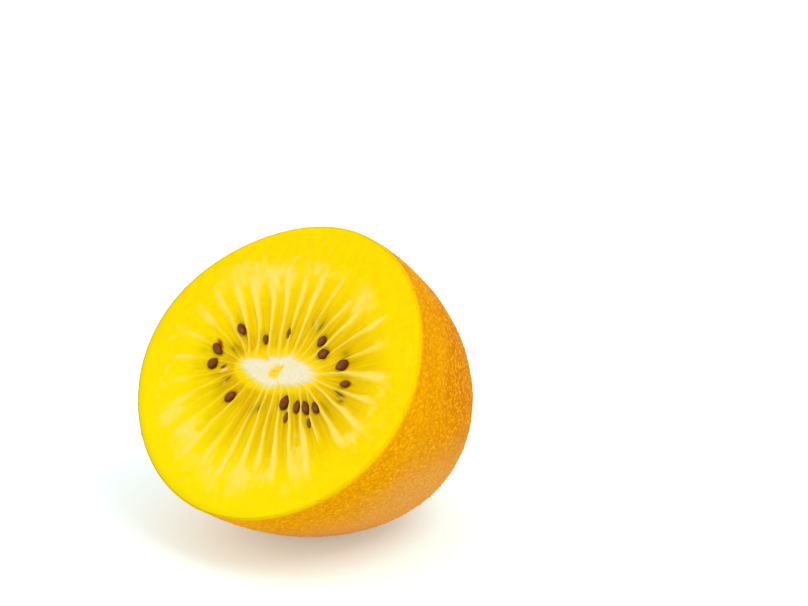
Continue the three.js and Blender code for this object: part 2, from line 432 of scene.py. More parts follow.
def shell_point(angle, along, inset=0.0):
    """A point of the skin. along runs from 0 at the cut to half pi at the tip, inset is under it."""
    reach = np.cos(along) ** (2 / PROFILE_POWER)
    depth = np.sin(along) ** (2 / PROFILE_POWER)
    across = rim(angle) * (reach * (1 - inset / NARROW_RADIUS))[..., None]
    return np.concatenate([across, -(HALF_LENGTH - inset) * depth[..., None]], -1)


def turned(points):
    """Turns points of the fruit frame the way the half lies."""
    x, y = rotated(points[..., 0], points[..., 1], math.radians(FACE_SPIN))
    y, z = rotated(y, points[..., 2], math.radians(FACE_TILT))
    return np.stack([x, y, z], -1)


def rest_offset():
    """Where the solid lies, from its box and the box of the same form turned but not yet moved."""
    low, high = (np.array(corner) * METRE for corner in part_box("kiwi_half"))
    along = np.linspace(0, math.pi / 2, SOLID_RINGS + 1)[:-1]
    form = turned(shell_point(*np.meshgrid(full_turn(SOLID_STEPS), along))).reshape(-1, 3)
    middle = (low[0] + high[0] - form[:, 0].min() - form[:, 0].max()) / 2
    return np.array([middle, low[1] - form[:, 1].min(), high[2] - form[:, 2].max()])


OFFSET = rest_offset()


def at_rest(points, floor=0.0):
    """Fruit frame to row frame, in metres, pressed flat where it would sink below the floor."""
    placed = turned(points) + OFFSET
    placed[..., 2] = np.maximum(placed[..., 2], floor)
    return placed / METRE


# ---- meshes


def ring_faces(count, columns):
    """The quads between that many rings of points, and the triangles that close them at two poles."""
    ring, column = np.meshgrid(np.arange(count - 1), np.arange(columns), indexing="ij")
    after = (column + 1) % columns
    low, high = 1 + ring * columns, 1 + (ring + 1) * columns
    quads = np.stack([low + column, high + column, high + after, low + after], -1).reshape(-1, 4)
    side = np.arange(columns)
    beside = (side + 1) % columns
    first = np.stack([np.zeros(columns, int), 1 + side, 1 + beside], -1)
    base, end = 1 + (count - 1) * columns, 1 + count * columns
    last = np.stack([base + beside, base + side, np.full(columns, end)], -1)
    return quads, np.concatenate([first, last])


def ringed_mesh(name, first_pole, rings, last_pole, values=()):
    """A closed mesh from rings of points between two poles. values are (name, rings of numbers)."""
    points = np.concatenate([first_pole[None], rings.reshape(-1, 3), last_pole[None]])
    mesh = bpy.data.meshes.new(name)
    fill_mesh(mesh, points, *ring_faces(*rings.shape[:2]))
    for label, numbers in values:
        add_value(mesh, label, np.concatenate([numbers[0, :1], numbers.reshape(-1), numbers[-1, :1]]))
    return mesh


def circles(sides, aside, above):
    """Circles of that many points and radius 1, one for each pair of directions."""
    turn = full_turn(sides)[None, :, None]
    return np.cos(turn) * aside[:, None] + np.sin(turn) * above[:, None]


def add_value(mesh, label, numbers):
    """A number for each point of the mesh, which its material reads by that name."""
    layer = mesh.attributes.new(label, "FLOAT", "POINT")
    layer.data.foreach_set("value", numbers.astype(np.float32))


def fill_mesh(mesh, points, quads, triangles):
    """Gives an empty mesh its points and smooth faces."""
    corners = np.concatenate([quads.reshape(-1), triangles.reshape(-1)]).astype(np.int32)
    sizes = np.concatenate([np.full(len(quads), 4), np.full(len(triangles), 3)])
    starts = np.concatenate([[0], np.cumsum(sizes)[:-1]]).astype(np.int32)
    mesh.vertices.add(len(points))
    mesh.vertices.foreach_set("co", points.astype(np.float32).reshape(-1))
    mesh.loops.add(len(corners))
    mesh.loops.foreach_set("vertex_index", corners)
    mesh.polygons.add(len(starts))
    mesh.polygons.foreach_set("loop_start", starts)
    mesh.polygons.foreach_set("use_smooth", np.ones(len(starts), bool))
    mesh.update(calc_edges=True)


def piece(name, mesh, material):
    """A new object that rides on the fruit's one body."""
    obj = bpy.data.objects.new(name, mesh)
    bpy.context.scene.collection.objects.link(obj)
    obj.data.materials.append(material)
    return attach(obj, "root")


def joined(meshes, name):
    """Several meshes as one, each still a closed body of its own."""
    whole = bmesh.new()
    for mesh in meshes:
        whole.from_mesh(mesh)
        bpy.data.meshes.remove(mesh)
    result = bpy.data.meshes.new(name)
    whole.to_mesh(result)
    whole.free()
    return result


# ---- the pattern of the cut face


def wall_field(degrees, share, spread, fray):
    """How much of a pale chamber wall each place is."""
    whole = np.zeros_like(share)
    for at, lean, hook, strength, width, reach in WALLS:
        line = at + lean * (WALL_SHARE - share) + hook * np.exp(-share / HOOK_SHARE)
        aside = np.radians(wrapped(degrees - line)) * spread
        half = width * (0.24 + 0.5 * smooth(share, 0.15, 0.75))
        end = 1 - smooth(share, reach - 0.2, reach + 0.03 + 0.07 * fray)
        inner = 0.8 + 0.2 * smooth(share, 0.15, 0.5)
        whole = np.maximum(whole, strength * inner * end * np.exp(-((aside / half) ** 2)))
    return whole


def yellow_share(degrees, share):
    """Where the walls are as yellow as the flesh, between the core and their frayed ends."""
    sides = np.minimum(bumps_round(degrees, YELLOW_WALLS), 1)
    return sides * (1 - smooth(share, 0.42, 0.62))


def bridge_field(degrees, share, fray):
    """How much of a pale bridge between two walls each place is."""
    whole = np.zeros_like(share)
    for at, half_angle, middle, half_share, strength in BRIDGES:
        away = wrapped(degrees - at) / half_angle
        along = (share + 0.045 * fray - middle) / half_share
        whole = np.maximum(whole, strength * (1 - smooth(np.hypot(away, along), 0.4, 1.45)))
    return whole


def smear_field(degrees, share):
    """Greenish tint round the bared seeds and over the deeper ones."""
    place = face_point(np.radians(degrees), share)
    whole = np.zeros_like(share)
    bared = [(angle, at, length * 0.75, 0.5) for angle, at, _, length, _, _ in SEEDS]
    for angle, at, half_length, strength in bared + list(DEEP_SEEDS):
        middle, out = place_and_out(angle, at)
        out = out / np.linalg.norm(out)
        along = (place - middle) @ out
        aside = (place - middle) @ np.array([-out[1], out[0]])
        far = np.hypot((along - 0.25 * half_length) / (half_length * 1.25), aside / 0.75)
        whole = np.maximum(whole, strength * np.exp(-(far**2)))
    return whole


def pit_field(points):
    """The small torn pit in the core's middle."""
    whole = np.zeros(points.shape[:-1])
    for x, y, radius in PIT_BLOBS:
        far = np.linalg.norm(points - np.array([x, y]), axis=-1) / radius
        whole = np.maximum(whole, 1 - smooth(far, 0.4, 1.25))
    return whole


def shaded_olive_share(angle):
    """How much olive shade is painted where the flesh meets the skin: most on one side, not at all on the
    other.
    """
    return smooth(np.cos(angle - math.radians(SHADED_OLIVE_SIDE)), 0.0, 0.8)


def scrap_field(points, rows):
    """How much of a scrap each place is."""
    whole = np.zeros(points.shape[:-1])
    for x, y, half_length, half_width, heading, strength in rows:
        along, aside = along_and_aside(points - np.array([x, y]), math.radians(heading))
        far = np.hypot(along / half_length, aside / half_width)
        whole = np.maximum(whole, strength * (1 - smooth(far, 0.2, 1.4)))
    return whole


def pocket_depth(points):
    """How far the flesh dips round each bared seed."""
    depth = np.zeros(points.shape[:-1])
    for angle, at, lean, length, width, _ in SEEDS:
        middle, heading = seed_place(angle, at, lean)
        along, aside = along_and_aside(points - middle, heading)
        far = np.hypot(along / (length / 2), aside / (width / 2))
        depth = np.maximum(depth, POCKET_DEPTH * (1 - smooth(far, 1.0, 1.45)))
    return depth


def seed_place(angle, at, lean):
    """The middle of a seed, and the direction its blunt end looks in."""
    middle, out = place_and_out(angle, at)
    return middle, math.atan2(out[1], out[0]) + math.radians(lean)


def face_grid():
    """Points of the cut face, row by row from the core's middle to the skin, and where each lies.

    That is its angle, its share of the way from the core's edge to the skin, and inside the core its
    share of the way to that edge.
    """
    angle = full_turn(FACE_COLUMNS)
    round_core, within = np.meshgrid(angle, np.arange(1, CORE_ROWS + 1) / CORE_ROWS)
    core_points = CORE_CENTRE + (core_edge(round_core) - CORE_CENTRE) * within[..., None]
    round_flesh, share = np.meshgrid(angle, np.arange(1, FLESH_ROWS + 1) / FLESH_ROWS)
    inner = core_edge(round_flesh)
    outer = rim(round_flesh) * (1 - SKIN_THICKNESS / NARROW_RADIUS)
    flesh_points = inner + (outer - inner) * share[..., None]
    points = np.concatenate([core_points, flesh_points])
    angles = np.concatenate([round_core, round_flesh])
    share = np.concatenate([np.zeros_like(within), share])
    within = np.concatenate([within, np.ones_like(round_flesh)])
    return points, angles, share, within


def face_spread(angles, share):
    """How many millimetres of the cut face one radian covers."""
    step = 1e-3
    ahead, behind = face_point(angles + step, share), face_point(angles - step, share)
    return np.linalg.norm(ahead - behind, axis=-1) / (2 * step)


def pale_field(points, angles, share, pale, streak, drift):
    """The pale flesh: walls and bridges, curdled further out, flecks between them, and golden holes."""
    degrees = np.degrees(angles)
    flat = np.concatenate([points, np.zeros_like(points[..., :1])], -1)
    curds = space_noise(flat, 1.0, 32) + 0.6 * space_noise(flat, 0.55, 33)
    outwards = smooth(share, 0.42, 0.66)
    pale = smooth(pale * (1 + 0.22 * streak * outwards + 0.2 * curds * outwards), 0.07, 1.0)
    flecks = 0.3 * smooth(space_noise(flat, 1.0, 34), 0.4, 0.9) * outwards
    flecks = flecks * (1 - smooth(share, 0.8, 0.95))
    pale = np.maximum(pale, flecks * smooth(drift, -0.2, 0.5))
    for at, half_angle, middle, half_share in HOLES:
        far = np.hypot(wrapped(degrees - at) / half_angle, (share - middle) / half_share)
        pale = pale * smooth(far, 0.6, 1.2)
    return pale


def gold_field(angles, share, pale, streak, drift):
    """The golden flesh in the chambers, darkest near the core on one side and further out on another."""
    deep_side = np.cos(angles - math.radians(DEEP_SIDE))
    further = 0.1 * deep_side
    in_chambers = smooth(share, 0.0, 0.06) * (1 - smooth(share + 0.05 * drift - further, 0.4, 0.7))
    deep = 1 - 0.5 * smooth(share - further, 0.12, 0.5)
    near_core = 1 - smooth(share, 0.14, 0.28)
    dusk = 1 + 0.35 * near_core * np.cos(angles - math.radians(DUSKY_SIDE))
    dusk = dusk + 0.3 * (1 - near_core) * deep_side
    return in_chambers * deep * dusk * (0.78 + 0.3 * streak) * (1 - 0.9 * pale)


def green_field(angles, share, walls, streak):
    """The greenish tint of the seeds, and of fine lines in the chambers."""
    seam = smooth(np.abs(face_noise(angles, share, 230, 3, 15)), 0.0, 0.28)
    fine_lines = (1 - seam) * smooth(share, 0.03, 0.1) * (1 - smooth(share, 0.3, 0.55))
    green = smear_field(np.degrees(angles), share) * (0.7 + 0.35 * streak) + 0.22 * fine_lines
    return green * (1 - 0.55 * np.minimum(walls * 1.2, 1))


def core_fields(angles, share, within, walls, streak):
    """How much of the core each place is, with a ragged soft edge, and the glow of the flesh round it."""
    beyond = share * np.linalg.norm(rim(angles) - core_edge(angles), axis=-1)
    core_reach = np.linalg.norm(core_edge(angles) - CORE_CENTRE, axis=-1)
    inside = (1 - within) * core_reach
    softness = CORE_HALF_HEIGHT + 0.3 * (core_reach - CORE_HALF_HEIGHT)
    ragged = 0.25 * face_noise(angles, share, 44, 1, 19) + 0.18 * streak
    bumps = bumps_round(np.degrees(angles), CORE_BUMPS)
    from_edge = (beyond - inside - 0.45 * walls - bumps + ragged) / softness
    return 1 - smooth(from_edge, -0.5, 0.02), 1 - smooth(beyond - inside, 0.0, 1.6)


def flesh_surface():
    """Points and fields of the cut face, row by row from the core's middle to the skin."""
    points, angles, share, within = face_grid()
    degrees = np.degrees(angles)
    fray = face_noise(angles, share, 240, 5, 11)
    streak = face_noise(angles, share, 300, 4, 12)
    drift = face_noise(angles, share, 24, 4, 13)
    strayed = degrees + 0.8 * face_noise(angles, share, 70, 7, 18)
    walls = wall_field(strayed, share, face_spread(angles, share), fray)
    cloud = 0.74 + 0.26 * face_noise(angles, share, 100, 15, 14)
    bridges = bridge_field(strayed, share, fray + 0.6 * drift) * cloud
    pale = pale_field(points, angles, share, np.maximum(walls, bridges), streak, drift)
    core, glow = core_fields(angles, share, within, walls, streak)
    pit = pit_field(points) * core
    light = pale * (1 - yellow_share(degrees, share))
    fields = {
        "pale": light,
        "gold": gold_field(angles, share, pale, streak, drift),
        "green": green_field(angles, share, walls, streak),
        "core": core,
        "glow": glow,
        "pit": pit,
        "root": light * (1 - smooth(share, 0.03, 0.16)),
        "lemon": smooth(np.cos(angles - math.radians(LEMON_SIDE)), -0.2, 1.0),
        # painted olive shade along the rim, on one side
        "edge": smooth(share, 0.93, 1.0) * shaded_olive_share(angles),
    }
    fields.update((kind, scrap_field(points, rows)) for kind, rows in SCRAPS.items())
    height = face_height(points, angles, share, pale, core, pit)
    return np.concatenate([points, height[..., None]], -1), fields


def face_height(points, angles, share, pale, core, pit):
    """The relief of the cut: sunk chambers between their walls, a swelling core, the seeds' pockets."""
    in_chambers = smooth(share, 0.01, 0.1) * (1 - smooth(share, 0.48, 0.64))
    chambers = -CHAMBER_DEPTH * in_chambers * (1 - np.minimum(pale * 1.1, 1)) + WALL_RISE * pale
    swell = CORE_RISE * smooth(core, 0, 1) * (1 - 0.4 * smooth(share, 0, 0.05))
    lumps = LUMP_HEIGHT * face_noise(angles, share, 14, 3, 17)
    brim = -BRIM_DEPTH * smooth(share, 0.985, 1.0)
    fibres = FIBRE_HEIGHT * face_noise(angles, share, 190, 30, 16) * (1 - core)
    dips = pocket_depth(points)
    return chambers + swell + lumps * smooth(share, 0, 0.2) + brim + fibres - dips - PIT_DEPTH * pit


# ---- materials


def linear(red, green, blue):
    """A display colour from 0 to 255 as the renderer's linear colour."""
    parts = (value / 255 for value in (red, green, blue))
    return tuple(p / 12.92 if p <= 0.04045 else ((p + 0.055) / 1.055) ** 2.4 for p in parts) + (1.0,)


# A Mix node repeats its sockets for each kind of data. These are the colour ones.
MIX_FACTOR, MIX_FIRST, MIX_SECOND, MIX_RESULT = 0, 6, 7, 2


class Paint:
    """A material with one shader, and short ways to add its nodes."""

    def __init__(self, name, **settings):
        self.material = bpy.data.materials.new(name)
        self.material.use_nodes = True
        self.tree = self.material.node_tree
        self.shader = self.tree.nodes["Principled BSDF"]
        self.coordinates = self.node("TexCoord").outputs["Object"]
        self.fill(self.shader, settings)

    def fill(self, node, values):
        """Sets a node's sockets. An underline stands for a space in a socket's name."""
        for socket, value in values.items():
            node.inputs[socket.replace("_", " ")].default_value = value

    def node(self, kind, **values):
        node = self.tree.nodes.new("ShaderNode" + kind)
        self.fill(node, values)
        return node

    def plug(self, socket, value):
        """Links a node's output to the socket, or sets a plain value."""
        if isinstance(value, bpy.types.NodeSocket):
            self.tree.links.new(value, socket)
        else:
            socket.default_value = value

    def attribute(self, name):
        """The number of that name that the mesh holds."""
        node = self.node("Attribute")
        node.attribute_name = name
        return node.outputs["Fac"]

    def noise(self, size, detail=2.0, rough=0.5):
        """Noise with bumps of about that size in millimetres, from 0 to 1."""
        node = self.node("TexNoise", Scale=METRE / size, Detail=detail, Roughness=rough)
        self.tree.links.new(self.coordinates, node.inputs["Vector"])
        return node.outputs["Fac"]

    def cells(self, size):
        """Distance from the nearest of many scattered points, in cells of about that size."""
        node = self.node("TexVoronoi", Scale=METRE / size)
        self.tree.links.new(self.coordinates, node.inputs["Vector"])
        return node.outputs["Distance"]

    def ramp(self, value, low, high, start=0.0, end=1.0):
        """A soft step from start to end while the value goes from low to high."""
        node = self.node("MapRange", From_Min=low, From_Max=high, To_Min=start, To_Max=end)
        node.interpolation_type = "SMOOTHSTEP"
        self.tree.links.new(value, node.inputs["Value"])
        return node.outputs["Result"]

    def times(self, first, second):
        """The product of two numbers."""
        node = self.node("Math")
        node.operation = "MULTIPLY"
        self.plug(node.inputs[0], first)
        self.plug(node.inputs[1], second)
        return node.outputs["Value"]

    def mix(self, factor, first, second):
        """The first colour where the factor is 0, the second where it is 1."""
        node = self.node("Mix")
        node.data_type = "RGBA"
        self.plug(node.inputs[MIX_FACTOR], factor)
        self.plug(node.inputs[MIX_FIRST], first)
        self.plug(node.inputs[MIX_SECOND], second)
        return node.outputs[MIX_RESULT]

    def tinted(self, colour, label, red, green, blue, most=None):
        """The colour with another over it, as strong as the mesh's number of that name, times most."""
        strength = self.attribute(label)
        if most is not None:
            strength = self.times(strength, most)
        return self.mix(strength, colour, linear(red, green, blue))

    def bump(self, height, distance, strength=1.0, under=None):
        """A bump that far up and down, in millimetres."""
        node = self.node("Bump", Distance=distance / METRE, Strength=strength)
        self.tree.links.new(height, node.inputs["Height"])
        if under is not None:
            self.tree.links.new(under, node.inputs["Normal"])
        return node.outputs["Normal"]

    def finished(self, colour, roughness, normal):
        """The material, with these three plugged into its shader."""
        self.plug(self.shader.inputs["Base Color"], colour)
        self.plug(self.shader.inputs["Roughness"], roughness)
        self.plug(self.shader.inputs["Normal"], normal)
        return self.material


def flesh_paint():
    juice = {"Subsurface Weight": 0.12, "Subsurface Radius": (1.0, 0.6, 0.1), "Subsurface Scale": 0.0006}
    paint = Paint("golden_flesh", Specular_IOR_Level=0.02, **juice)
    grain = paint.noise(0.55, 3.0, 0.6)
    mottle = paint.noise(1.7, 3.0, 0.6)
    colour = paint.mix(paint.ramp(mottle, 0.3, 0.7), linear(242, 204, 0), linear(247, 212, 0))
    colour = paint.tinted(colour, "lemon", 244, 220, 0, 0.6)
    colour = paint.tinted(colour, "gold", 218, 172, 0)
    glow = paint.ramp(paint.attribute("glow"), 0.0, 1.0, 0.0, 0.4)
    colour = paint.mix(glow, colour, linear(240, 194, 4))
    speckled = paint.ramp(grain, 0.25, 0.75, 0.72, 1.12)
    colour = paint.tinted(colour, "pale", 244, 216, 102, speckled)
    colour = paint.tinted(colour, "root", 241, 205, 40)
    colour = paint.tinted(colour, "green", 140, 116, 0, paint.ramp(grain, 0.2, 0.8, 0.6, 1.1))
    creamy = paint.mix(paint.ramp(grain, 0.3, 0.7), linear(230, 217, 176), linear(236, 225, 192))
    colour = paint.mix(paint.attribute("core"), colour, creamy)
    pit = paint.mix(paint.ramp(grain, 0.35, 0.65), linear(238, 197, 12), linear(246, 214, 56))
    colour = paint.mix(paint.attribute("pit"), colour, pit)
    for kind, tint in SCRAP_COLOURS.items():
        colour = paint.tinted(colour, kind, *tint)
    # Painted olive shade along the rim of the cut, on one side.
    colour = paint.tinted(colour, "edge", 222, 196, 0, 0.6)
    roughness = paint.ramp(grain, 0.2, 0.8, 0.36, 0.58)
    juicy = paint.bump(grain, 0.03, 0.5)
    return paint.finished(colour, roughness, paint.bump(paint.noise(0.2, 2.0), 0.02, 0.5, juicy))


def skin_paint():
    sheen = {"Sheen Weight": 0.01, "Sheen Roughness": 0.15, "Sheen Tint": linear(255, 190, 100)}
    paint = Paint("kiwi_skin", Specular_IOR_Level=0.004, **sheen)
    cloud = paint.noise(9.0, 3.0)
    mottle = paint.noise(1.6, 3.0, 0.65)
    rosy = paint.noise(2.2, 3.0)
    grain = paint.noise(0.3, 2.0)
    pebbles = paint.cells(0.7)
    # Where the skin has painted shade, the pebbles' painted light and shade is clearest too.
    lit_side_clearness = paint.ramp(paint.attribute("shaded_crisp"), 0.0, 1.0, 0.55, 1.15)
    # Pebble peaks painted lighter and hollows darker: partly the skin's own specks, partly painted light
    # and shade.
    lit_tops = paint.times(lit_side_clearness, paint.ramp(pebbles, 0.1, 0.46, 0.8, 0.0))
    shaded_valleys = paint.times(lit_side_clearness, paint.ramp(pebbles, 0.35, 0.8, 0.0, 0.9))
    colour = paint.mix(paint.ramp(cloud, 0.3, 0.7), linear(230, 154, 0), linear(243, 166, 0))
    colour = paint.mix(paint.ramp(mottle, 0.35, 0.75, 0.0, 0.4), colour, linear(214, 136, 0))
    colour = paint.mix(paint.ramp(rosy, 0.5, 0.75, 0.0, 0.35), colour, linear(236, 148, 14))
    colour = paint.tinted(colour, "far", 208, 120, 0)
    # Painted shade: deep orange on one side of the skin, well below the cut.
    colour = paint.tinted(colour, "shaded_crisp", 208, 108, 0, 0.45)
    colour = paint.mix(shaded_valleys, colour, linear(206, 120, 0))
    colour = paint.mix(paint.ramp(grain, 0.5, 0.8, 0.0, 0.45), colour, linear(200, 116, 0))
    colour = paint.mix(lit_tops, colour, linear(254, 178, 0))
    # A painted reflection of the pale floor: tan where the skin is turned to it.
    tan = paint.mix(paint.ramp(grain, 0.3, 0.7), linear(238, 166, 74), linear(220, 144, 46))
    tan = paint.mix(paint.times(lit_tops, 0.5), tan, linear(240, 172, 76))
    tan = paint.mix(paint.times(shaded_valleys, 0.5), tan, linear(196, 120, 40))
    colour = paint.mix(paint.attribute("floor_reflection"), colour, tan)
    # The lip at the cut, flesh yellow, with painted olive shade on one side.
    rim = paint.mix(paint.attribute("olive"), linear(246, 204, 0), linear(204, 176, 10))
    colour = paint.mix(paint.attribute("cut"), colour, rim)
    roughness = paint.ramp(mottle, 0.2, 0.8, 0.42, 0.6)
    raised = paint.bump(paint.ramp(pebbles, 0.05, 0.7, 1.0, 0.0), 0.12, 1.0)
    return paint.finished(colour, roughness, paint.bump(grain, 0.05, 0.8, raised))


def lenticel_paint():
    paint = Paint("lenticel", Specular_IOR_Level=0.04)
    grain = paint.noise(0.35, 2.0)
    broad = paint.noise(5.0, 2.0)
    colour = paint.mix(paint.ramp(grain, 0.3, 0.7), linear(244, 168, 0), linear(252, 188, 16))
    colour = paint.mix(paint.ramp(broad, 0.35, 0.7, 0.0, 0.5), colour, linear(232, 152, 4))
    colour = paint.tinted(colour, "far", 226, 144, 20)
    # Painted reflection of the pale floor on the dots turned to it.
    colour = paint.tinted(colour, "floor_reflection", 230, 160, 84)
    roughness = paint.ramp(grain, 0.2, 0.8, 0.4, 0.6)
    return paint.finished(colour, roughness, paint.bump(grain, 0.02, 0.5))


def seed_paint():
    paint = Paint("seed_coat", Specular_IOR_Level=0.08, Coat_Weight=0.05, Coat_Roughness=0.25)
    grain = paint.noise(0.5, 3.0, 0.6)
    colour = paint.mix(paint.ramp(grain, 0.3, 0.7), linear(106, 52, 16), linear(134, 72, 38))
    # Darker sides where the seed dips into the flesh: partly the coat's own edge, partly painted shade.
    colour = paint.tinted(colour, "shaded_flank", 88, 38, 0)
    colour = paint.tinted(colour, "veil", 118, 84, 10)
    roughness = paint.ramp(grain, 0.2, 0.8, 0.28, 0.48)
    return paint.finished(colour, roughness, paint.bump(paint.noise(0.18, 2.0), 0.015, 0.5))


def flower_paint():
    paint = Paint("dried_flower_end", Specular_IOR_Level=0.25)
    fibre = paint.noise(0.45, 4.0, 0.7)
    colour = paint.mix(paint.ramp(fibre, 0.3, 0.7), linear(64, 40, 20), linear(132, 92, 48))
    roughness = paint.ramp(fibre, 0.2, 0.8, 0.7, 0.95)
    return paint.finished(colour, roughness, paint.bump(fibre, 0.12, 0.9))


# ---- the pieces


def make_flesh():
    """The flesh with its cut face, and its sides just under the skin."""
    face, fields = flesh_surface()
    down = np.append(FLESH_LIP, np.linspace(0, math.pi / 2, SIDE_ROWS + 2)[1:-1])
    sides = shell_point(*np.meshgrid(full_turn(FACE_COLUMNS), down), FLESH_INSET)
    rings = np.concatenate([face, sides])
    blank = np.zeros(sides.shape[:2])
    values = [(name, np.concatenate([field, blank])) for name, field in fields.items()]
    middle = np.append(CORE_CENTRE, face[0, :, 2].mean())
    middle, rings, tip = (at_rest(part, FLESH_INSET) for part in (middle, rings, INNER_TIP))
    mesh = ringed_mesh("flesh", middle, rings, tip, values)
    flesh = piece("flesh", mesh, flesh_paint())
    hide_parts("kiwi_half")


def skin_relief(points):
    """How far the skin stands out or in: soft lumps, then small pebbling."""
    lumps = 0.1 * space_noise(points, 9.0, 21) + 0.05 * space_noise(points, 3.5, 22)
    pebbles = 0.035 * space_noise(points, 1.1, 23) + 0.02 * space_noise(points, 0.6, 24)
    return lumps + pebbles


def outward(points):
    """The direction away from the fruit's middle, near enough the skin's own normal."""
    scale = np.array([WIDE_RADIUS, NARROW_RADIUS, HALF_LENGTH])
    normal = points / scale**2
    return normal / np.linalg.norm(normal, axis=-1, keepdims=True)


def skin_outside(angle, along):
    """Points of the skin with its relief, which starts a little below the cut."""
    points = shell_point(angle, along)
    relief = skin_relief(points) * smooth(along, 0.0, 0.05)
    return points + outward(points) * relief[..., None]


def far_share(points):
    """How far down the fruit a place of the skin is, where it is browner."""
    return 0.6 * smooth(-points[..., 2] + 2.0 * space_noise(points, 8.0, 27), 6.0, 26.0)


def shaded_crisp_share(points):
    """Where the skin has painted shade, deep orange, and the clearest pebbling: well below the cut on one
    side.
    """
    angle = np.arctan2(points[..., 1], points[..., 0])
    depth = -points[..., 2] + space_noise(points, 5.0, 28)
    return smooth(np.cos(angle - math.radians(SHADED_CRISP_SIDE)), 0.3, 0.9) * smooth(depth, 6.0, 12.0)


def painted_floor_reflection(points):
    """How much a place of the skin is turned to the floor and far from the cut, where a tan reflection of
    the pale floor is painted.
    """
    down = -turned(outward(points))[..., 2] + 0.1 * space_noise(points, 6.0, 25)
    below_cut = -points[..., 2] + 1.5 * space_noise(points, 3.0, 26)
    return smooth(down, 0.1, 0.55) * smooth(below_cut, 4.0, 17.0)


def make_skin():
    """A thin shell: up its inside from the tip, over the lip at the cut, and down its outside."""
    angle = full_turn(SKIN_COLUMNS)
    back_up = np.linspace(math.pi / 2, 0, SKIN_INNER_ROWS + 2)[1:-1]
    inside = shell_point(*np.meshgrid(angle, back_up), SKIN_THICKNESS)
    lip = np.stack([shell_point(angle, np.full(SKIN_COLUMNS, along), inset) for along, inset in SKIN_LIP])
    lip[1, :, 2] = SKIN_LIP_RISE
    down = (np.arange(1, SKIN_ROWS) / SKIN_ROWS) * math.pi / 2
    outside = skin_outside(*np.meshgrid(angle, down))
    rings = np.concatenate([inside, lip, outside])
    cut = 0.8 * (1 - smooth(-rings[..., 2], 0.0, 1.2))
    cut[len(inside) : len(inside) + len(lip)] = 1.0
    # painted olive shade on one side of the lip
    olive = np.broadcast_to(shaded_olive_share(angle), cut.shape)
    values = [("cut", cut), ("olive", olive), ("floor_reflection", painted_floor_reflection(rings))]
    values += [("far", far_share(rings)), ("shaded_crisp", shaded_crisp_share(rings))]
    placed = at_rest(rings)
    placed[: len(inside), :, 2] = np.maximum(placed[: len(inside), :, 2], SKIN_THICKNESS / METRE)
    mesh = ringed_mesh("skin", at_rest(INNER_TIP), placed, at_rest(TIP), values)
    piece("skin", mesh, skin_paint())


def lenticel_places():
    """Middles and radii of the pale dots: fewer towards the tip, none where the fruit rests."""
    draw = np.random.default_rng(31)
    depth = draw.uniform(0.004, 0.99, LENTICELS * 2)
    along = np.arcsin(depth ** (PROFILE_POWER / 2))
    crowd = np.cos(along) ** (1 / PROFILE_POWER)
    keep = draw.uniform(0, 1, len(along)) < 0.35 + 0.65 * crowd
    along = along[keep][:LENTICELS]
    angle = draw.uniform(0, 2 * math.pi, len(along))
    radius = LENTICEL_RADIUS + LENTICEL_SPREAD * draw.uniform(0, 1, len(along)) ** 2
    middle = skin_outside(angle, along)
    bared = turned(middle)[..., 2] + OFFSET[2] > BARE_BELOW
    return middle[bared], radius[bared, None]


def make_lenticels():
    """Small pale domes scattered over the skin, each a closed lens sunk halfway into it."""
    middle, radius = lenticel_places()
    normal = outward(middle)
    sideways = np.cross(normal, np.array([0.0, 0.0, 1.0]))
    sideways /= np.linalg.norm(sideways, axis=-1, keepdims=True)
    rounds = circles(LENTICEL_SIDES, sideways, np.cross(normal, sideways))
    wide = radius[:, None]
    rings = [
        middle[:, None] + rounds * wide * share + normal[:, None] * wide * rise
        for share, rise in LENTICEL_RINGS
    ]
    base = middle - normal * radius * LENTICEL_ROOT
    top = middle + normal * radius * LENTICEL_HEIGHT
    points = np.concatenate([base[:, None], *rings, top[:, None]], 1)
    count, each = points.shape[:2]
    quads, triangles = ring_faces(len(rings), LENTICEL_SIDES)
    shift = (np.arange(count) * each)[:, None, None]
    quads, triangles = (quads + shift).reshape(-1, 4), (triangles + shift).reshape(-1, 3)
    mesh = bpy.data.meshes.new("lenticels")
    fill_mesh(mesh, at_rest(points, LENTICEL_FLOOR).reshape(-1, 3), quads, triangles)
    add_value(mesh, "floor_reflection", painted_floor_reflection(points).reshape(-1))
    add_value(mesh, "far", far_share(points).reshape(-1))
    lenticels = piece("lenticels", mesh, lenticel_paint())


